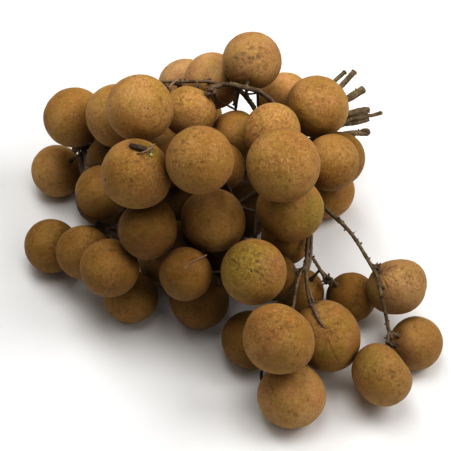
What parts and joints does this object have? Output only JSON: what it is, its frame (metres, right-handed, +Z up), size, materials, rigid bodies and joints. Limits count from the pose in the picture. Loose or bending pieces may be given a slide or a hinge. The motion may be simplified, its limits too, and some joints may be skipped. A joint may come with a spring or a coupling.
{
  "type": "longan bunch",
  "caption": "Bunch of round tan longan fruits heaped round their forked brown twigs, lying on a surface, with the cut twig ends fanning out at the back right.",
  "frame": {"origin": "on the surface that the bunch lies on, under the middle of its bounding box", "axes": "+Z up; +X to the right and +Y to the back as the bunch is seen from its sloping front; the cut twig ends point to the back right"},
  "size_m": [0.1784, 0.1812, 0.0977],
  "materials": {
    "fruit_skin": "thin, dry, finely velvety rind, tan with darker freckles",
    "twig_bark": "rough grey-brown bark, matte",
    "twig_cut": "pale freshly cut wood at the twig ends"
  },
  "bodies": {
    "root": {"fruit_01": "fruit_skin", "fruit_02": "fruit_skin", "fruit_03": "fruit_skin", "fruit_04": "fruit_skin", "fruit_05": "fruit_skin", "fruit_06": "fruit_skin", "fruit_07": "fruit_skin", "fruit_08": "fruit_skin", "fruit_09": "fruit_skin", "fruit_10": "fruit_skin", "fruit_11": "fruit_skin", "fruit_12": "fruit_skin", "fruit_13": "fruit_skin", "fruit_14": "fruit_skin", "fruit_15": "fruit_skin", "fruit_16": "fruit_skin", "fruit_17": "fruit_skin", "fruit_18": "fruit_skin", "fruit_19": "fruit_skin", "fruit_20": "fruit_skin", "fruit_21": "fruit_skin", "fruit_22": "fruit_skin", "fruit_23": "fruit_skin", "fruit_24": "fruit_skin", "fruit_25": "fruit_skin", "fruit_26": "fruit_skin", "fruit_27": "fruit_skin", "fruit_28": "fruit_skin", "fruit_29": "fruit_skin", "fruit_30": "fruit_skin", "fruit_31": "fruit_skin", "fruit_32": "fruit_skin", "fruit_33": "fruit_skin", "fruit_34": "fruit_skin", "fruit_35": "fruit_skin", "fruit_36": "fruit_skin", "fruit_37": "fruit_skin", "fruit_38": "fruit_skin", "fruit_39": "fruit_skin", "fruit_40": "fruit_skin", "fruit_41": "fruit_skin", "fruit_42": "fruit_skin", "fruit_43": "fruit_skin", "fruit_44": "fruit_skin", "fruit_45": "fruit_skin", "fruit_46": "fruit_skin", "fruit_47": "fruit_skin", "fruit_48": "fruit_skin", "fruit_49": "fruit_skin", "fruit_50": "fruit_skin", "fruit_51": "fruit_skin", "fruit_52": "fruit_skin", "fruit_53": "fruit_skin", "twig_arch": "twig_bark", "twig_front": "twig_bark", "twig_left": "twig_bark", "twig_long": "twig_bark", "twig_middle": "twig_bark", "twig_right": "twig_bark", "twig_slope": "twig_bark"}
  },
  "joints": []
}
